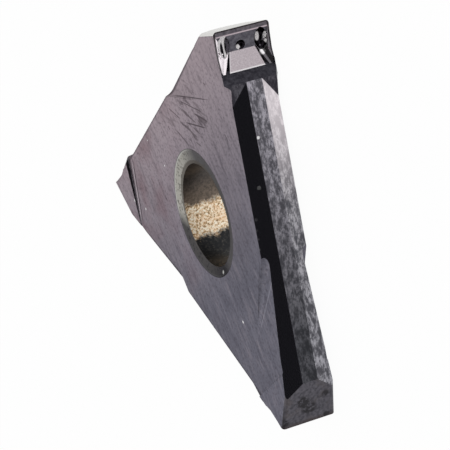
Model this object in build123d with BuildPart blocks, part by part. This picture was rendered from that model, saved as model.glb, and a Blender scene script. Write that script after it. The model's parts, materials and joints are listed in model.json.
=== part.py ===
"""Three-corner grooving insert, sintered carbide, one solid.

Z is the screw axis, z = 0 the middle of the thickness.  Every tip is drawn at
the first corner: x is the height above the screw axis (the rake side faces
+x), y runs along that side toward the cutting edge.  The other two corners
are the same geometry turned by 120 degrees.
"""
import os
from math import radians, sqrt, tan

from build123d import *

# ---------------------------------------------------------------- dimensions
inscribed_d = 12.7        # circle touching the three long edges of a side face
body_t = 2.5              # thickness over the two side faces
blade_t = 3.0             # cutting width, over the two cutting corners
ridge_rise = 0.30         # the flat strip of a long side stands above its edges
strip_t = 0.84            # width of that strip

bore_d = 5.5              # screw hole
seat_d = 6.86             # screw seat, near side
seat_depth = 0.12
seat_shift = (-0.08, 0.12)  # the pressed seat sits slightly off the bore
mouth_break = 0.15        # edge break of the far mouth

edge_drop = 0.12          # cutting edge below the long edges
edge_back = 1.01          # cutting edge short of the sharp corner
flank_relief = 5.0        # degrees, clearance face under the cutting edge
nose_r = 0.18             # corner radius at both ends of the cutting edge
blade_len = 2.26          # the blade stands proud this far behind its corner
blade_root_r = 0.09

relief_len = 3.81         # ground side relief, back from the cutting edge
relief_root_r = 0.34
relief_down = 0.0626      # fall of the relief per mm away from the rake side
relief_back = 0.020       # fall per mm away from the cutting edge

# chip breaker, (height over the cutting edge, distance back from it)
land_rise, land_back = -0.03, 0.29        # end of the land
floor_rise, floor_back = -0.31, 1.14      # deepest line
foot_rise, foot_back = -0.08, 2.12        # foot of the back wall
top_back = 2.62                           # top of the back wall
heel_back = 3.71                          # the block behind the wall runs out
rim = [(0.19, 2.29), (-0.03, 1.80), (-0.11, 1.39), (-0.07, 0.59)]
pocket_floor_w = 1.84     # width of the pocket at the bottom
pocket_rim_w = 2.88       # and at the rim
shoulder_w, shoulder_top_w = 2.96, 2.40   # block width at edge height and on top

pit_back, pit_z = 0.81, 1.00              # lens pits beside the floor
pit_len, pit_r, pit_lift = 1.22, 0.35, 0.08
channel_back, channel_z = 1.05, 0.66      # troughs beside the ramp start here
channel_len, channel_spread = 1.40, 0.28  # and spread toward the wall
channel_depth, channel_w = 0.16, 0.42     # at their deep end
dimple_back, dimple_z = 0.93, 0.09        # round dimple in the floor
dimple_r, dimple_lift = 0.27, 0.10

# ------------------------------------------------------------------- derived
half_body = body_t / 2
half_blade = blade_t / 2
half_strip = strip_t / 2
edge_r = inscribed_d / 2
ridge_r = edge_r + ridge_rise
side_taper = ridge_rise / (half_body - half_strip)
edge_x = edge_r - edge_drop
edge_y = edge_r * sqrt(3) - edge_back
blade_from = edge_x / 2 + edge_y * sqrt(3) / 2 - blade_len
corners = (0, 120, 240)


def at(rise, back):
    """Point of the tip profile from its height over the edge and distance back."""
    return (edge_x + rise, edge_y - back)


land_end = at(land_rise, land_back)
floor_low = at(floor_rise, floor_back)
wall_foot = at(foot_rise, foot_back)
wall_top = (ridge_r, edge_y - top_back)
heel = (edge_r, edge_y - heel_back)
side_land = [at(*point) for point in rim]
clear = edge_back + edge_r        # cutters reach this far past the tip

# ------------------------------------------------------------------- cutters
# everything outside the rake profile and the flank face of one tip
flank_run = edge_x * 0.74
flank_end = (edge_x - flank_run, edge_y - flank_run * tan(radians(flank_relief)))
with BuildPart() as tip_trim:
    with BuildSketch():
        with BuildLine():
            Polyline(wall_top, *side_land, (edge_x, edge_y), flank_end,
                     (flank_end[0], edge_y + clear), (edge_x + clear, edge_y + clear),
                     (edge_x + clear, wall_top[1]), close=True)
        make_face()
    extrude(amount=blade_t, both=True)

# block that carries the chip breaker at full blade width
block_depth = ridge_rise - floor_rise + 4 * pit_r
block_x = ridge_r - block_depth
with BuildPart() as tip_block:
    with BuildSketch():
        with BuildLine():
            Polyline((block_x, heel[1]), heel, wall_top, *side_land, (edge_x, edge_y),
                     (block_x, edge_y - (edge_x - block_x) * tan(radians(flank_relief))),
                     close=True)
        make_face()
    extrude(amount=half_blade, both=True)

# sloping shoulders at both ends of the back wall
lean = (shoulder_w - shoulder_top_w) / 2 / (ridge_r - edge_x)
high_x = ridge_r + ridge_rise
low_x = edge_x - (half_blade - shoulder_w / 2) / lean
with BuildPart() as shoulder:
    with BuildSketch(Plane.XZ.offset(-heel[1])):
        with BuildLine():
            Polyline((low_x, half_blade), (high_x, half_blade - lean * (high_x - low_x)),
                     (high_x, blade_t), (low_x, blade_t), close=True)
        make_face()
    extrude(amount=-(side_land[2][1] - heel[1]))

# slab that brings the side face down behind the three blades
with BuildPart() as side_slab:
    with BuildSketch(Plane.XY.offset(half_body)):
        RegularPolygon(radius=blade_from, side_count=3, major_radius=False, rotation=0)
    extrude(amount=blade_t)
    fillet(side_slab.faces().sort_by(Axis.Z)[0].edges(), blade_root_r)

# ground side relief of one tip
relief_plane = Plane(origin=(edge_x, edge_y, half_blade),
                     x_dir=(1, 0, relief_down),
                     z_dir=(-relief_down, -relief_back, 1))
relief_w = 2 * edge_r + clear
with BuildPart() as side_relief:
    with BuildSketch(relief_plane):
        with Locations((clear - relief_w / 2, (clear - relief_len) / 2)):
            Rectangle(relief_w, clear + relief_len)
    extrude(amount=blade_t)
    wall = side_relief.faces().sort_by(Axis.Y)[0]
    fillet(wall.edges().sort_by(Axis.Z)[0], relief_root_r)

# chip breaker pocket
over = ridge_r + 1.0
with BuildPart() as pocket:
    with BuildSketch():
        with BuildLine():
            Polyline(land_end, floor_low, wall_foot, wall_top,
                     (over, wall_top[1]), (over, land_end[1]), close=True)
        make_face()
    extrude(amount=half_blade, both=True)
    rim_slope = (pocket_rim_w - pocket_floor_w) / 2 / -floor_rise
    under = floor_low[0] - blade_root_r
    half_under = pocket_floor_w / 2 - rim_slope * blade_root_r
    half_over = half_under + rim_slope * (over - under)
    with BuildSketch(Plane.XZ.offset(-wall_top[1] + relief_len)):
        with BuildLine():
            Polyline((under, -half_under), (over, -half_over),
                     (over, half_over), (under, half_under), close=True)
        make_face()
    extrude(amount=-2 * relief_len - clear, mode=Mode.INTERSECT)

# lens pit beside the floor, its axis along the floor's slope
floor_rate = (land_end[0] - floor_low[0]) / (land_end[1] - floor_low[1])
pit_y = edge_y - pit_back
pit_x = floor_low[0] + (pit_y - floor_low[1]) * floor_rate + pit_lift
pit_plane = Plane(origin=(pit_x, pit_y, pit_z), x_dir=(1, -floor_rate, 0), z_dir=(0, 0, 1))
with BuildPart() as pit:
    with BuildSketch(pit_plane):
        with BuildLine():
            ThreePointArc((0, -pit_len / 2), (pit_r, 0), (0, pit_len / 2))
            Line((0, pit_len / 2), (0, -pit_len / 2))
        make_face()
    revolve(axis=Axis(pit_plane.origin, pit_plane.y_dir))

# trough beside the ramp, deeper and wider toward the wall, where it ends
ramp_rate = (wall_foot[0] - floor_low[0]) / (wall_foot[1] - floor_low[1])
with BuildPart() as channel:
    for run, size in ((0, 0.15), (channel_len, 1)):
        back = channel_back + run
        start = (floor_low[0] - (back - floor_back) * ramp_rate, edge_y - back,
                 channel_z + run * channel_spread)
        with BuildSketch(Plane(origin=start, x_dir=(1, -ramp_rate, 0),
                               z_dir=(-ramp_rate, -1, channel_spread))):
            with BuildLine():
                Polyline((0, 0), (-size * channel_depth, size * channel_w / 4),
                         (size * channel_depth, size * channel_w), close=True)
            make_face()
    loft()
    split(bisect_by=Plane(origin=(*wall_foot, 0),
                          z_dir=(wall_foot[1] - wall_top[1], wall_top[0] - wall_foot[0], 0)),
          keep=Keep.TOP)

# round dimple
dimple_y = edge_y - dimple_back
dimple_x = floor_low[0] + (dimple_y - floor_low[1]) * floor_rate + dimple_lift
with BuildPart() as dimple:
    with Locations((dimple_x, dimple_y, dimple_z)):
        Sphere(dimple_r)

far_slab = side_slab.part.mirror(Plane.XY)
far_relief = side_relief.part.mirror(Plane.XY)
far_shoulder = shoulder.part.mirror(Plane.XY)
far_pit = pit.part.mirror(Plane.XY)
far_channel = channel.part.mirror(Plane.XY)

# ---------------------------------------------------------------- the insert
with BuildPart() as grooving_insert:
    # V-profiled triangular prism: flat strip between two chamfered bands
    with BuildSketch():
        RegularPolygon(radius=ridge_r, side_count=3, major_radius=False, rotation=60)
    extrude(amount=half_strip, both=True)
    for side in (1, -1):
        with BuildSketch(Plane.XY.offset(side * half_strip)):
            RegularPolygon(radius=ridge_r, side_count=3, major_radius=False, rotation=60)
        with BuildSketch(Plane.XY.offset(side * half_blade)):
            RegularPolygon(radius=ridge_r - side_taper * (half_blade - half_strip),
                           side_count=3, major_radius=False, rotation=60)
        loft()

    # rake and flank faces of the three tips
    for turn in corners:
        with Locations(Location((0, 0, 0), (0, 0, turn))):
            add(tip_trim.part, mode=Mode.SUBTRACT)
    for turn in corners:
        with Locations(Location((0, 0, 0), (0, 0, turn))):
            add(tip_block.part)

    # side faces, then the ground relief of every blade on both sides
    add(side_slab.part, mode=Mode.SUBTRACT)
    add(far_slab, mode=Mode.SUBTRACT)
    for turn in corners:
        with Locations(Location((0, 0, 0), (0, 0, turn))):
            add(side_relief.part, mode=Mode.SUBTRACT)
            add(far_relief, mode=Mode.SUBTRACT)

    # corner radii at both ends of each cutting edge
    noses = []
    for edge in grooving_insert.edges():
        for turn in corners:
            mid = edge.center().rotate(Axis.Z, -turn)
            if (mid.Y > edge_y - 0.3 and abs(mid.Z) > half_blade - 0.2
                    and 1.2 < edge.length < flank_run):
                noses.append(edge)
    fillet(noses, nose_r)

    # chip breakers
    for turn in corners:
        with Locations(Location((0, 0, 0), (0, 0, turn))):
            add(shoulder.part, mode=Mode.SUBTRACT)
            add(far_shoulder, mode=Mode.SUBTRACT)
            add(pocket.part, mode=Mode.SUBTRACT)
            for hollow in (channel.part, far_channel, pit.part, far_pit, dimple.part):
                add(hollow, mode=Mode.SUBTRACT)

    # screw hole with its seat on the near side
    with BuildSketch(Plane.XY.offset(-half_blade)):
        Circle(bore_d / 2)
    extrude(amount=blade_t, mode=Mode.SUBTRACT)
    with BuildSketch(Plane.XY.offset(half_body - seat_depth)):
        Circle(bore_d / 2)
    with BuildSketch(Plane.XY.offset(half_body)):
        with Locations(seat_shift):
            Circle(seat_d / 2)
    loft(mode=Mode.SUBTRACT)
    with Locations((0, 0, -half_body)):
        Cone(bottom_radius=bore_d / 2 + mouth_break, top_radius=bore_d / 2, height=mouth_break,
             align=(Align.CENTER, Align.CENTER, Align.MIN), mode=Mode.SUBTRACT)

grooving_insert.part.label = "grooving_insert"
os.makedirs("parts", exist_ok=True)
export_step(grooving_insert.part, "parts/grooving_insert.step")
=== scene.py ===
"""Three-corner carbide grooving insert, lying on its side on a white table."""
import json
from math import cos, radians, sin

import bmesh
import bpy
from mathutils import Matrix, Vector


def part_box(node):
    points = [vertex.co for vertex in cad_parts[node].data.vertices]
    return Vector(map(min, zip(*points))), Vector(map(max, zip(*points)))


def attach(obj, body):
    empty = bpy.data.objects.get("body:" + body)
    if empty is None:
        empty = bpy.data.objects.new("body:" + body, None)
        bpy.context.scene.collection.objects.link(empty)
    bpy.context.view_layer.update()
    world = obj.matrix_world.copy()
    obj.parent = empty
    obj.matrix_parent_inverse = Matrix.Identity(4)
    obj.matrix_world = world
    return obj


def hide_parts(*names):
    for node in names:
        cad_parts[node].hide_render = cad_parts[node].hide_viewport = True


MM = 0.001

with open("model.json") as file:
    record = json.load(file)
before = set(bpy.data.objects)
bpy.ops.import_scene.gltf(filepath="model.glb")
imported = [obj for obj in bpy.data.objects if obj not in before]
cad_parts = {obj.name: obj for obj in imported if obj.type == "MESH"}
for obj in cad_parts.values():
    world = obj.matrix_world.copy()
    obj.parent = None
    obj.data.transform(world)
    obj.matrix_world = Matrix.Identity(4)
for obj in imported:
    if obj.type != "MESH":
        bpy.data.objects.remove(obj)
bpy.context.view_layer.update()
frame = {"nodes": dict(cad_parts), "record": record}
insert_cad = frame["nodes"]["grooving_insert"]
low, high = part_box("grooving_insert")
mounts = {mount["name"]: mount for mount in frame["record"]["mounts"]}

# Sizes of the insert in millimetres. The first long side faces +X, and its blade is at the +Y end.
bore_r = mounts["screw_bore"]["dims"]["r_mm"]
side_z = -mounts["seat_face"]["pos_m"][2] / MM    # a side face, out from the middle
blade_z = high.z / MM                             # a blade's side, out from the middle
ridge_x = high.x / MM                             # the flat strip of a long side
tip_y = high.y / MM                               # the cutting edge at the end of that side
rim_x = ridge_x - 0.30                            # where a side face ends at a long side
seat_r = 3.43                                     # the pressed seat round the bore
seat_at = (-0.08, 0.12)                           # and its middle, slightly off the bore
floor_end = 1.14                                  # the breaker's floor ends this far behind the
                                                  # cutting edge, and its ramp begins
ramp_spread = 0.29                                # the ramp's side per mm farther back

# ------------------------------------------------------------------ camera
# a long lens low beside the insert; right and up are the camera's own
eye = Vector((99.43476, 24.05225, 40.47796)) * MM
right = Vector((0.4081858, -0.1847302, -0.8940129))
up = Vector((-0.1340033, 0.9565795, -0.2588412))
cam = bpy.data.cameras.new("camera")
cam.sensor_width = 36.0
cam.lens = 170.844
cam.clip_start = 0.01
cam.clip_end = 5
camera = bpy.data.objects.new("camera", cam)
aim = Matrix((right, up, right.cross(up))).transposed().to_4x4()
camera.matrix_world = Matrix.Translation(eye) @ aim
bpy.context.collection.objects.link(camera)
bpy.context.scene.camera = camera


# ------------------------------------------------------------ shader maths
class Val:
    """A number in a node tree, written as ordinary maths."""

    def __init__(self, tree, socket):
        self.tree = tree
        self.socket = socket

    def _op(self, operation, *terms):
        node = self.tree.nodes.new("ShaderNodeMath")
        node.operation = operation
        for slot, term in zip(node.inputs, terms):
            if isinstance(term, Val):
                self.tree.links.new(term.socket, slot)
            else:
                slot.default_value = term
        return Val(self.tree, node.outputs[0])

    def __add__(self, other):
        return self._op("ADD", self, other)

    def __radd__(self, other):
        return self._op("ADD", other, self)

    def __sub__(self, other):
        return self._op("SUBTRACT", self, other)

    def __rsub__(self, other):
        return self._op("SUBTRACT", other, self)

    def __mul__(self, other):
        return self._op("MULTIPLY", self, other)

    def __rmul__(self, other):
        return self._op("MULTIPLY", other, self)

    def __truediv__(self, other):
        return self._op("DIVIDE", self, other)

    def __pow__(self, other):
        return self._op("POWER", self, other)

    def __abs__(self):
        return self._op("ABSOLUTE", self)

    def larger(self, other):
        return self._op("MAXIMUM", self, other)

    def clamp(self):
        held = self + 0.0
        held.socket.node.use_clamp = True
        return held


def together(masks):
    """All the masks as one, at most 1."""
    total = masks[0]
    for mask in masks[1:]:
        total = total + mask
    return total.clamp()


class Nodes:
    """An emptied node tree, and the one way in which its nodes are made."""

    def __init__(self, tree):
        self.tree = tree
        tree.nodes.clear()

    def node(self, kind, settings=None, sockets=None):
        """A node of this kind, its settings made first, then its sockets by name or number."""
        made = self.tree.nodes.new(kind)
        for key, value in (settings or {}).items():
            setattr(made, key, value)
        for key, value in (sockets or {}).items():
            self.plug(value, made.inputs[key])
        return made

    def plug(self, value, slot):
        if isinstance(value, Val):
            value = value.socket
        if isinstance(value, bpy.types.NodeSocket):
            self.tree.links.new(value, slot)
        elif slot.type == "RGBA":
            slot.default_value = (*value, 1)
        else:
            slot.default_value = value

    def val(self, socket):
        return Val(self.tree, socket)

    def steps(self, value, a, b, at_a=0.0, at_b=1.0):
        """at_a where the value is a, at_b where it is b, straight between and level outside."""
        made = self.node("ShaderNodeMapRange", {"clamp": True},
                         {0: value, 1: a, 2: b, 3: at_a, 4: at_b})
        return self.val(made.outputs[0])

    def rays(self):
        """Two masks: the rays straight from the camera, and all that show the white backdrop."""
        kinds = self.node("ShaderNodeLightPath").outputs
        straight = self.val(kinds["Is Camera Ray"])
        mirrored = self.val(kinds["Is Glossy Ray"]) + self.val(kinds["Is Transmission Ray"])
        return straight, (straight + mirrored).clamp()


class Finish(Nodes):
    """One material of the insert: a Principled surface and the patterns that drive it."""

    def __init__(self, name, rough=0.4, metal=0.9, rim=1.0):
        """rim tints the bright reflection that a metal has at a flat angle."""
        self.mat = bpy.data.materials.new(name)
        self.mat.use_nodes = True
        super().__init__(self.mat.node_tree)
        self.shader = self.node("ShaderNodeBsdfPrincipled", None, {
            "Roughness": rough, "Metallic": metal, "Specular Tint": (rim, rim, rim)})
        self.node("ShaderNodeOutputMaterial", None, {"Surface": self.shader.outputs[0]})
        self.place = self.node("ShaderNodeTexCoord").outputs["Object"]
        parts = self.node("ShaderNodeSeparateXYZ", None, {"Vector": self.place})
        self.x, self.y, self.z = (self.val(part) / MM for part in parts.outputs)

    def out(self, angle):
        """How far a point lies from the bore's axis toward an angle, as seen on a side face."""
        return cos(radians(angle)) * self.x + sin(radians(angle)) * self.y

    def behind_edge(self):
        """How far a point lies behind the cutting edge of the corner that is nearest to it."""
        return tip_y - self.out(90).larger(self.out(210)).larger(self.out(330))

    def noise(self, size, detail=3.0, rough=0.5, stretch=(1, 1, 1), turn=0.0, at=(0, 0, 0)):
        """Noise with features of about size millimetres, drawn out where stretch is small."""
        spot = self.node("ShaderNodeMapping", {"vector_type": "TEXTURE"}, {
            "Vector": self.place, "Location": at, "Rotation": (0, 0, radians(turn)),
            "Scale": tuple(1 / part for part in stretch)})
        made = self.node("ShaderNodeTexNoise", None, {
            "Vector": spot.outputs[0], "Scale": 1 / (size * MM), "Detail": detail,
            "Roughness": rough})
        return self.val(made.outputs[0])

    def blend(self, amount, a, b):
        """Colour a where the amount is 0 and colour b where it is 1."""
        made = self.node("ShaderNodeMix", {"data_type": "RGBA"}, {0: amount, 6: a, 7: b})
        return made.outputs[2]

    def spot(self, x, y, z, r):
        """1 inside a ball of r millimetres, fading at its rim."""
        away = self.node("ShaderNodeVectorMath", {"operation": "DISTANCE"},
                         {0: self.place, 1: (x * MM, y * MM, z * MM)})
        return self.steps(self.val(away.outputs["Value"]) / MM, r, 0.6 * r)

    def stroke(self, x0, y0, x1, y1, width):
        """1 along a straight line on a side face, fading across it and toward its ends."""
        run = Vector((x1 - x0, y1 - y0))
        half = run.length / 2
        way = run.normalized()
        along = (self.x - x0) * way.x + (self.y - y0) * way.y
        across = (self.x - x0) * way.y - (self.y - y0) * way.x
        return (self.steps(abs(across), width / 2, width / 5)
                * self.steps(abs(along - half), half, half * 2 / 3))

    def color(self, value):
        self.plug(value, self.shader.inputs["Base Color"])

    def rough(self, value):
        self.plug(value, self.shader.inputs["Roughness"])

    def relief(self, height=None, distance=0.0, strength=0.5):
        """Slightly rounded edges, with a fine grain on top where a height is given."""
        edge_round = 0.03 * MM
        last = self.node("ShaderNodeBevel", {"samples": 4}, {"Radius": edge_round}).outputs[0]
        if height is not None:
            last = self.node("ShaderNodeBump", None, {
                "Height": height, "Distance": distance * MM, "Strength": strength,
                "Normal": last}).outputs[0]
        self.plug(last, self.shader.inputs["Normal"])


# ---------------------------------------------------------------- finishes
# painted glint on the far trough, also laid on the flat beside it
painted_trough_glint = (5.95, 8.50, -1.00, 0.19)    # x, y, z and radius, where the far trough shines


def side_face():
    """Ground flat: clouded, with grinding lines, scratches and a few specks of dust."""
    f = Finish("ground_side_face", metal=0.85, rim=0.30)
    # painted light: the face grows paler toward the top corner
    painted_light_rise = f.steps(f.y - 0.45 * f.x, -5.0, 7.2) ** 1.4
    tone = f.blend(painted_light_rise, (0.150, 0.147, 0.180), (0.385, 0.322, 0.350))
    ruddy = 0.55 * f.steps(f.noise(2.2, 2), 0.45, 0.7) * f.steps(f.x, 0.0, -7.0)
    tone = f.blend(ruddy, tone, (0.19, 0.115, 0.130))
    grain = f.noise(0.16, 3, 0.6)
    drawn = f.noise(0.34, 3, 0.6, (0.25, 1.3, 1), -60)
    tone = f.blend(0.55 * f.steps(grain, 0.5, 0.75), tone, (0.05, 0.042, 0.052))
    tone = f.blend(0.45 * f.steps(drawn, 0.5, 0.75), tone, (0.05, 0.046, 0.060))
    tone = f.blend(0.35 * f.steps(drawn, 0.47, 0.27), tone, (0.33, 0.29, 0.32))

    # rubbed patch below the top corner, and single scratches: from x, y to x, y, and width
    patch = f.steps(abs(f.x - 0.6) * 0.9 + abs(f.y - 5.1) * 1.5, 4.2, 1.2)
    wear_and_painted_sheen = f.steps(f.noise(0.32, 2, 0.5, (0.24, 1.3, 1), -16), 0.55, 0.62) * patch
    scratches = [
        (-1.51, 4.40, -0.30, 3.80, 0.10), (-0.13, 4.95, 2.66, 4.90, 0.10),
        (1.30, 5.55, 2.97, 5.25, 0.12), (-2.07, 5.55, -0.60, 5.05, 0.08),
        (-0.20, 6.05, 2.40, 5.70, 0.07), (0.85, 4.02, 1.45, 3.84, 0.09),
        (4.75, 4.82, 5.02, 4.42, 0.09), (-2.58, 4.55, -2.42, 4.32, 0.13),
        (-1.50, 6.22, 3.74, 6.44, 0.06), (-5.00, 0.50, -4.78, 0.15, 0.10),
        (2.85, 7.62, 3.02, 7.20, 0.08), (3.25, 7.30, 3.52, 7.16, 0.08)]
    scratched = together([f.stroke(*scratch) for scratch in scratches] + [0.8 * wear_and_painted_sheen])
    tone = f.blend(0.75 * scratched, tone, (0.045, 0.035, 0.04))

    # painted shade: dark rims at the two long sides that face away
    rims = together([f.steps(f.out(angle), rim_x - 0.11, rim_x - 0.01) for angle in (120, 240)])
    tone = f.blend(0.6 * rims, tone, (0.035, 0.030, 0.038))

    # edges of the ground reliefs, one at the -Y corner, one at the corner toward -X: each a
    # painted highlight line beside a painted shade line
    painted_edge_highlight = f.stroke(6.95, -1.95, 4.30, -5.55, 0.07)
    tone = f.blend(0.45 * painted_edge_highlight, tone, (0.36, 0.35, 0.40))
    painted_edge_shade = f.stroke(6.10, -1.50, 4.45, -4.90, 0.09)
    tone = f.blend(0.5 * painted_edge_shade, tone, (0.03, 0.028, 0.036))
    painted_step_highlight = f.stroke(-9.03, 2.05, -9.42, -1.75, 0.17)
    tone = f.blend(0.65 * painted_step_highlight, tone, (0.62, 0.56, 0.60))
    painted_step_shade = f.stroke(-8.84, 2.05, -9.24, -1.75, 0.15)
    tone = f.blend(0.75 * painted_step_shade, tone, (0.03, 0.025, 0.03))

    specks = together([f.spot(-8.35, -0.74, 1.3, 0.10), f.spot(-9.50, -0.38, 1.35, 0.11),
                       f.spot(2.48, -5.30, side_z, 0.09), f.spot(-4.2, 2.2, side_z, 0.06),
                       f.spot(-6.0, 3.4, side_z, 0.05)])
    f.color(f.blend(0.85 * specks, tone, (0.85, 0.85, 0.85)))
    f.rough(0.34 + 0.2 * grain)
    f.relief(grain, 0.006)
    return f.mat


def mottle(f, light, dark, amount=1.0):
    """Blotches and short streaks along a long side: their colour, and the blotches alone."""
    blotch = f.noise(0.30, 6, 0.72, (1, 0.45, 1))
    fine = f.noise(0.11, 4, 0.7, (1, 0.5, 1), at=(0.004, 0, 0.002))
    tone = f.blend(amount * f.steps(blotch, 0.57, 0.43), light, dark)
    return f.blend(0.85 * amount * f.steps(fine, 0.49, 0.60), tone, dark), blotch


def band():
    """Sloped band beside the strip: by painted light black on the near side, mottled and bright on
    the far one.
    """
    f = Finish("chamfer_band", metal=0.9)
    # painted light: the far band is given a bright reflection, paler toward the top, and the near
    # one black
    far = f.steps(f.z, 0.1, -0.1)
    painted_light_upward = f.steps(f.y, 1.0, 6.0)
    light = f.blend(f.steps(f.y, -6.0, 1.5), (0.36, 0.355, 0.39), (0.39, 0.378, 0.405))
    light = f.blend(painted_light_upward, light, (0.84, 0.78, 0.81))
    dark = f.blend(painted_light_upward, (0.075, 0.074, 0.086), (0.64, 0.59, 0.62))
    wear_and_painted_sheen, blotch = mottle(f, light, dark)
    tone = f.blend(far, (0.070, 0.068, 0.085), wear_and_painted_sheen)
    chips = together([f.spot(6.39, 0.63, 1.15, 0.09), f.spot(6.34, -0.87, 1.27, 0.10),
                      f.spot(6.37, 0.10, 1.22, 0.07), f.spot(6.36, -0.35, 1.20, 0.06)])
    tone = f.blend(0.8 * chips, tone, (0.35, 0.34, 0.37))
    specks = together([f.spot(6.70, 4.59, 0.30, 0.09), 0.6 * f.spot(6.53, 2.16, 0.74, 0.12)])
    f.color(f.blend(0.9 * specks, tone, (0.9, 0.9, 0.9)))
    f.rough(0.14 + 0.24 * far)
    f.relief(blotch, 0.004, 0.4)
    return f.mat


def strip():
    """Flat strip along the ridge, mottled, and by painted light paler toward the top corner."""
    f = Finish("ridge_strip", rough=0.42, metal=0.85)
    # painted light: paler toward the top corner
    painted_light_upward = f.steps(f.y, -6.0, 6.5)
    light = f.blend(painted_light_upward, (0.088, 0.088, 0.100), (0.42, 0.40, 0.45))
    dark = f.blend(painted_light_upward, (0.027, 0.028, 0.033), (0.100, 0.096, 0.112))
    tone, blotch = mottle(f, light, dark)
    f.color(f.blend(0.8 * f.spot(6.66, 4.59, 0.34, 0.10), tone, (0.9, 0.9, 0.9)))
    f.relief(blotch, 0.006)
    return f.mat


def heel_slopes():
    """Sloped faces where the block behind the back wall runs out."""
    f = Finish("heel_slopes", rough=0.35, metal=0.85)
    tone, blotch = mottle(f, (0.090, 0.085, 0.100), (0.024, 0.022, 0.030), 0.9)
    f.color(tone)
    f.relief(blotch, 0.005, 0.4)
    return f.mat


def shade_painted_pressed(name, light, dark, rough):
    """Faces of the breaker as they come from the press, darkened as painted shade."""
    f = Finish(name, rough=rough, metal=0.85)
    grain = f.noise(0.18, 4, 0.6)
    f.color(f.blend(f.steps(grain, 0.35, 0.65), dark, light))
    f.relief(grain, 0.005)
    return f.mat


def land():
    """Narrow land behind the cutting edge, with a painted highlight at its back and painted shade
    at its outline.
    """
    f = Finish("cutting_land", rough=0.28, metal=0.85)
    back = f.behind_edge()
    grain = f.noise(0.15, 3, 0.6)
    tone = f.blend(f.steps(grain, 0.35, 0.65), (0.07, 0.062, 0.075), (0.15, 0.135, 0.15))
    # painted highlight along the land's back
    tone = f.blend(0.8 * f.steps(back, 0.23, 0.27), tone, (0.60, 0.50, 0.54))
    # painted shade along the outline
    outline = together([f.steps(back, 0.09, 0.05),
                        f.steps(abs(f.z), blade_z - 0.135, blade_z - 0.095)])
    f.color(f.blend(0.9 * outline, tone, (0.018, 0.013, 0.015)))
    f.relief(grain, 0.004, 0.4)
    return f.mat


def ramp():
    """Slope up from the floor, pale by painted light, with painted highlight lines at its top and
    far side.
    """
    f = Finish("breaker_ramp", rough=0.40, metal=0.8)
    back = f.behind_edge()
    grain = f.noise(0.07, 3, 0.6)
    # painted light: the ramp's pale tone
    tone = f.blend(f.steps(grain, 0.3, 0.7), (0.44, 0.38, 0.41), (0.62, 0.56, 0.59))
    aside = f.z - ramp_spread * (back - floor_end)
    # painted highlights along the top and the far side
    lines = together([f.steps(back, 2.04, 2.08), f.steps(aside, 0.62, 0.68)])
    f.color(f.blend(0.8 * lines, tone, (0.95, 0.92, 0.94)))
    f.relief(grain, 0.006)
    return f.mat


def breaker_rim():
    """Flats beside the breaker: by painted light bright on the near side, with a painted glint and
    a painted shade outline.
    """
    f = Finish("breaker_rim", rough=0.22, metal=0.9)
    grain = f.noise(0.25, 3, 0.6)
    # painted light: the near flat bright, the far one dark
    tone = f.blend(f.steps(f.z, 0.2, 0.4), (0.16, 0.15, 0.165), (1.0, 0.93, 0.97))
    tone = f.blend(f.steps(grain, 0.56, 0.66), tone, (0.12, 0.09, 0.11))
    tone = f.blend(f.spot(*painted_trough_glint), tone, (0.98, 0.95, 0.97))
    # painted shade along the outline
    outline = f.steps(abs(f.z), blade_z - 0.125, blade_z - 0.095)
    f.color(f.blend(0.92 * outline, tone, (0.015, 0.012, 0.015)))
    f.relief(grain, 0.004, 0.4)
    return f.mat


def flank():
    """Clearance face: dark and smudged at the -Y corner, pale at the top one by painted
    reflection.
    """
    f = Finish("clearance_face", rough=0.36, metal=0.75)
    grain = f.noise(0.16, 3, 0.6)
    tone = f.blend(f.steps(grain, 0.35, 0.68), (0.042, 0.040, 0.050), (0.105, 0.099, 0.117))
    cloud = 0.5 * f.steps(f.noise(0.9, 3, 0.6), 0.5, 0.65)
    tone = f.blend(cloud, tone, (0.095, 0.080, 0.080))
    tone = f.blend(0.7 * f.steps(f.out(240), 5.95, 6.15), tone, (0.035, 0.022, 0.020))
    # painted shade along both side edges
    sides = f.steps(abs(f.z), blade_z - 0.135, blade_z - 0.075)
    tone = f.blend(0.7 * sides, tone, (0.014, 0.012, 0.016))
    patchy = f.steps(f.noise(0.22, 4, 0.6), 0.40, 0.50)
    smudge = together([f.spot(5.93, -9.53, 0.02, 0.50), f.spot(6.13, -9.09, 0.38, 0.42),
                       f.spot(6.18, -8.98, -0.87, 0.26), f.spot(5.61, -10.21, -0.99, 0.22),
                       f.spot(5.66, -10.05, 1.38, 0.30)]) * patchy
    tone = f.blend(0.85 * smudge, tone, (0.008, 0.007, 0.009))
    # painted reflection: the top corner's face pale
    f.color(f.blend(f.steps(f.y, 9.0, 9.4), tone, (0.66, 0.65, 0.63)))
    f.rough(0.30 + 0.15 * grain)
    f.relief(grain, 0.006)
    return f.mat


def ground_step():
    """Rounded step that the side relief leaves across a corner, given a dark tone as painted
    shade.
    """
    f = Finish("ground_step", rough=0.20, metal=0.9)
    grain = f.noise(0.3, 3, 0.6, (0.4, 1, 1), 20)
    f.color(f.blend(f.steps(grain, 0.4, 0.65), (0.035, 0.030, 0.038), (0.11, 0.10, 0.115)))
    f.relief()
    return f.mat


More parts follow.
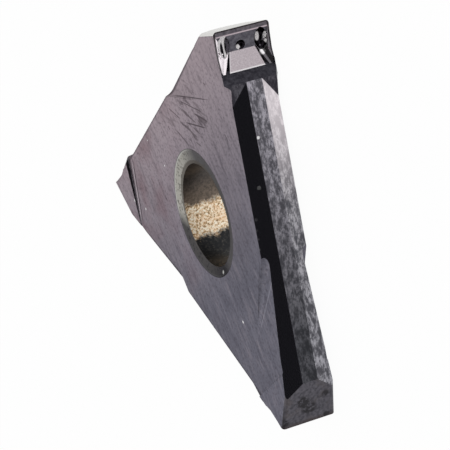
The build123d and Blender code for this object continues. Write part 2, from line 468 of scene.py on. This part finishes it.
def pit():
    """Polished hollows with painted reflections: black, with bright patches."""
    f = Finish("polished_hollow")
    back = f.behind_edge()

    def patch(far_back, aside, half_long, half_wide):
        along = (back - far_back) / half_long
        across = (f.z - aside) / half_wide
        return f.steps(along * along + across * across, 1.0, 0.55)

    # painted reflections: bright patches and a bright near rim on black
    pupil = patch(0.97, 0.99, 0.42, 0.085)
    near_rim = f.steps(f.z, 0.82, 0.86) * (1 - pupil)
    near_wall = f.steps(f.z, 0.82, 0.78) * f.steps(f.z, 0.45, 0.55)
    bright = together([patch(0.71, -0.92, 0.26, 0.14), patch(0.82, -1.32, 0.36, 0.12),
                       patch(1.01, 0.19, 0.15, 0.14), near_rim])
    black = f.blend(near_wall, (0.012, 0.010, 0.013), (0.09, 0.085, 0.10))
    f.color(f.blend(bright, black, (1.0, 0.97, 0.98)))
    f.plug(1 - 0.70 * bright, f.shader.inputs["Metallic"])
    f.rough(0.20 + 0.35 * bright)
    f.relief()
    return f.mat


def trough():
    """Troughs beside the ramp, dark by painted shade, the far one with a painted glint."""
    f = Finish("troughs", rough=0.22, metal=0.85)
    grain = f.noise(0.18, 4, 0.6)
    tone = f.blend(f.steps(grain, 0.35, 0.65), (0.012, 0.010, 0.014), (0.045, 0.038, 0.048))
    f.color(f.blend(0.95 * f.spot(*painted_trough_glint), tone, (0.95, 0.92, 0.94)))
    f.relief(grain, 0.005)
    return f.mat


def bore():
    """Bore wall: brown above and black below by painted shade, a speckled gold belt with painted
    highlights between, plain gold where it turns.
    """
    f = Finish("bore_wall", rough=0.30, metal=0.85)
    speck = f.noise(0.14, 3, 0.7)
    soft = f.noise(0.7, 3, 0.6)
    ragged = f.y + 0.5 * (soft - 0.5) + 0.5 * (speck - 0.5)
    # painted shade: brown above, darker toward the top
    upper = f.blend(f.steps(f.y, 1.8, 0.4), (0.065, 0.058, 0.056), (0.190, 0.150, 0.120))
    upper = f.blend(0.5 * f.steps(speck, 0.4, 0.62), upper, (0.030, 0.028, 0.026))
    # painted shade: black below
    lower = f.blend(f.steps(speck, 0.5, 0.7), (0.022, 0.023, 0.025), (0.075, 0.072, 0.066))
    tooth = f.noise(0.13, 5, 0.75, at=(0.003, 0.001, 0))
    # the gold is the coating's own colour; its bright belt and near-white specks are painted
    # highlight
    gold = f.blend(f.steps(tooth, 0.40, 0.50), (0.22, 0.135, 0.065), (0.98, 0.70, 0.42))
    gold = f.blend(f.steps(tooth, 0.48, 0.56), gold, (1.0, 0.95, 0.82))
    gold = f.blend(0.35 * f.steps(soft, 0.5, 0.65), gold, (0.95, 0.58, 0.32))
    tone = f.blend(f.steps(ragged, 0.20, -0.10), upper, gold)
    tone = f.blend(f.steps(ragged, -1.45, -1.70), tone, lower)
    plain = f.blend(f.steps(speck, 0.40, 0.56), (0.10, 0.075, 0.05), (0.34, 0.27, 0.19))
    f.color(f.blend(f.steps(f.x, -0.3, 1.0), tone, plain))
    f.relief(speck, 0.012)
    return f.mat


def seat():
    """Shallow ring round the bore: by painted light pale toward -X, with a painted shadow below,
    painted highlight and shade lines at its rim, and painted shade at the bore's edge.
    """
    f = Finish("seat_ring", rough=0.42, metal=0.85, rim=0.30)
    grain = f.noise(0.14, 3, 0.6)
    east = f.x - seat_at[0]
    north = f.y - seat_at[1]
    away = (east * east + north * north) ** 0.5
    # painted light: paler toward -X
    pale = f.steps(f.x + 0.2 * f.y, 0.8, -1.2)
    tone = f.blend(pale, (0.112, 0.108, 0.112), (0.345, 0.335, 0.305))
    tone = f.blend(0.75 * f.steps(grain, 0.54, 0.62), tone, (0.09, 0.085, 0.08))
    # painted highlight inside the outer rim
    painted_rim_highlight = f.steps(away, seat_r - 0.13, seat_r - 0.07) * pale
    tone = f.blend(0.8 * painted_rim_highlight, tone, (0.50, 0.50, 0.48))
    # painted shade line at the outer rim
    painted_rim_shade = f.steps(away, seat_r - 0.06, seat_r - 0.02)
    tone = f.blend(0.8 * painted_rim_shade, tone, (0.06, 0.055, 0.06))
    # painted shadow below
    tone = f.blend(0.85 * f.steps(f.y + 0.4 * f.x, -1.4, -2.2), tone, (0.022, 0.020, 0.026))
    tone = f.blend(0.8 * f.spot(1.01, -2.90, 1.15, 0.14), tone, (0.6, 0.6, 0.58))
    # painted shade at the bore's edge
    f.color(f.blend(0.8 * f.steps(away, bore_r + 0.09, bore_r + 0.03), tone, (0.10, 0.09, 0.08)))
    f.relief(grain, 0.006)
    return f.mat


finishes = {
    "side": side_face(), "band": band(), "strip": strip(), "behind": heel_slopes(),
    # painted shade: the breaker floor and the back wall given dark tones
    "floor": shade_painted_pressed("breaker_floor", (0.135, 0.130, 0.150), (0.060, 0.055, 0.070), 0.30),
    "wall": shade_painted_pressed("back_wall", (0.050, 0.048, 0.060), (0.018, 0.017, 0.024), 0.35),
    "trough": trough(), "land": land(), "ramp": ramp(), "rim": breaker_rim(),
    "flank": flank(), "step": ground_step(), "pit": pit(), "bore": bore(), "seat": seat()}


# ------------------------------------------- which face has which finish
# Bounds that lie between one kind of face and the next, in millimetres.
land_back = 0.39      # behind the cutting edge: the land is nearer,
ramp_back = 1.09      # the ramp is farther,
hollow_back = 1.39    # the hollows and the clearance face are nearer,
wall_back = 1.99      # the ends of the back wall are farther,
heel_back = 2.79      # and the whole breaker is nearer
rim_aside = 1.12      # from the middle plane: the rims are farther out,
wall_aside = 1.20     # and so are the ends of the back wall
ramp_aside = 0.75     # half the ramp's width where it begins
long_side_x = 5.2     # the faces of a long side lie farther out
step_out = 9.2        # a side relief's step lies farther out, toward the corner
bore_out = 3.0        # the bore's wall lies nearer the axis
seat_out = 3.7        # and so does the whole seat
hair = 0.0001


def breaker_kind(back, aside, normal):
    """For a face of the breaker, by its distance behind the edge and from the middle plane."""
    lean = abs(normal.z)
    if lean < 0.2 and normal.y > 0.5:
        return "wall"
    if lean > 0.3 and back > wall_back and aside > wall_aside:
        return "wall"
    if lean > 0.3 and aside > rim_aside and abs(normal.y) < 0.12:
        return "rim"
    if lean < 0.06 and 0.15 < normal.y < 0.4 and back > ramp_back:
        on_ramp = aside < ramp_aside + ramp_spread * (back - floor_end)
        return "ramp" if on_ramp else "rim"
    if lean < 0.05 and normal.y < -0.2:
        return "floor"
    if lean < 0.05 and normal.y < 0.1:
        return "land" if back < land_back else "rim"
    return "pit" if back < hollow_back else "trough"


def long_side_kind(center, normal):
    """For a face near the long side toward +X and its corner at the +Y end, or None."""
    back = tip_y - center.y
    if normal.y > 0.25 and normal.x < 0.2 and back < hollow_back and center.x > 1.2:
        return "flank"
    if center.x < long_side_x:
        return None
    if back < heel_back and normal.x > 0.1:
        return breaker_kind(back, abs(center.z), normal)
    if normal.x > 0.85 and normal.y < -0.1 and center.y > 5:
        return "behind"
    if normal.x > 0.85 and abs(normal.y) < 0.1 and abs(normal.z) < 0.5:
        return "strip" if abs(normal.z) < 0.05 else "band"
    return None


def kind_of(center, normal):
    """Which finish a face of the insert has, by where it lies and which way it looks."""
    r = center.xy.length
    if r < seat_out and abs(center.z) < side_z - hair:
        at_wall = r < bore_out and abs(normal.z) < 0.5
        return "bore" if at_wall or center.z < 0 else "seat"
    if abs(normal.z) > 0.985:
        return "side"
    to_corner = Vector((cos(radians(60)), sin(radians(60))))
    on_step = False
    for third in range(3):
        turn = Matrix.Rotation(radians(-120 * third), 3, "Z")
        turned = turn @ center
        found = long_side_kind(turned, turn @ normal)
        if found:
            return found
        if third < 2 and to_corner.dot(turned.xy) > step_out:
            on_step = True    # the third corner's step is as bright as the side face
    return "step" if on_step else "side"


# -------------------------------------------------------------- the insert
def insert_body(cad_mesh):
    """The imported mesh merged, with a finish on each face and its soft edges shaded smooth."""
    smooth_up_to = radians(14)
    shell = bmesh.new()
    shell.from_mesh(cad_mesh)
    bmesh.ops.remove_doubles(shell, verts=shell.verts, dist=1e-7)
    order = list(finishes)
    for face in shell.faces:
        kind = kind_of(face.calc_center_median() / MM, face.normal)
        face.material_index = order.index(kind)
        face.smooth = True
    for edge in shell.edges:
        edge.smooth = len(edge.link_faces) != 2 or edge.calc_face_angle(0) <= smooth_up_to
    mesh = bpy.data.meshes.new("insert_body")
    shell.to_mesh(mesh)
    shell.free()
    for finish in finishes.values():
        mesh.materials.append(finish)
    return mesh


insert = bpy.data.objects.new("insert_body", insert_body(insert_cad.data))
bpy.context.collection.objects.link(insert)
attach(insert, "root")
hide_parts("grooving_insert")


# --------------------------------------------------------------- the table
def white_table():
    """White where it is seen or mirrored, over a plain surface that takes the shadow."""
    mat = bpy.data.materials.new("white_table")
    mat.use_nodes = True
    n = Nodes(mat.node_tree)
    white = n.node("ShaderNodeEmission").outputs[0]
    plain = n.node("ShaderNodeBsdfDiffuse", None, {"Color": (0.85, 0.85, 0.85)}).outputs[0]
    every_shown = n.rays()[1]
    mix = n.node("ShaderNodeMixShader", None, {0: 0.96 * every_shown, 1: plain, 2: white})
    n.node("ShaderNodeOutputMaterial", None, {"Surface": mix.outputs[0]})
    return mat


flat = bmesh.new()
bmesh.ops.create_grid(flat, x_segments=1, y_segments=1, size=1.5,
                      matrix=Matrix.Translation((0, 0, low.z)))
table_mesh = bpy.data.meshes.new("table")
flat.to_mesh(table_mesh)
flat.free()
table_mesh.materials.append(white_table())
table = bpy.data.objects.new("table", table_mesh)
bpy.context.collection.objects.link(table)


# --------------------------------------------------------------- the light
def studio():
    """White room that is dark behind the camera, which the metal shows, and even elsewhere."""
    world = bpy.data.worlds.new("studio")
    world.use_nodes = True
    n = Nodes(world.node_tree)
    straight, every_shown = n.rays()
    direction = n.node("ShaderNodeTexCoord").outputs["Generated"]
    dark_middle = Vector((0.92, -0.20, 0.32)).normalized()
    facing = n.node("ShaderNodeVectorMath", {"operation": "DOT_PRODUCT"},
                    {0: direction, 1: dark_middle}).outputs["Value"]
    room = n.steps(n.val(facing), 0.86, 0.60, 0.03, 1.0)
    backdrop = n.node("ShaderNodeBackground", None, {
        "Color": (1, 1, 1), "Strength": (straight + (1 - straight) * room).clamp()})
    even = n.node("ShaderNodeBackground", None, {"Color": (0.8, 0.8, 0.8)})
    mix = n.node("ShaderNodeMixShader", None, {
        0: every_shown, 1: even.outputs[0], 2: backdrop.outputs[0]})
    n.node("ShaderNodeOutputWorld", None, {"Surface": mix.outputs[0]})
    return world


def lamp(name, place, size, power):
    """A square lamp that looks at the bore."""
    light = bpy.data.lights.new(name, "AREA")
    light.shape = "SQUARE"
    light.size = size
    light.energy = power
    made = bpy.data.objects.new(name, light)
    made.location = place
    made.rotation_euler = (-Vector(place)).to_track_quat("-Z", "Y").to_euler()
    bpy.context.collection.objects.link(made)


bpy.context.scene.world = studio()
lamp("key", (0.05, 0.25, 0.35), 0.25, 0.18)
lamp("fill", (-0.3, -0.1, 0.3), 0.3, 0.12)

bpy.context.scene.view_settings.view_transform = "Standard"
bpy.context.view_layer.update()
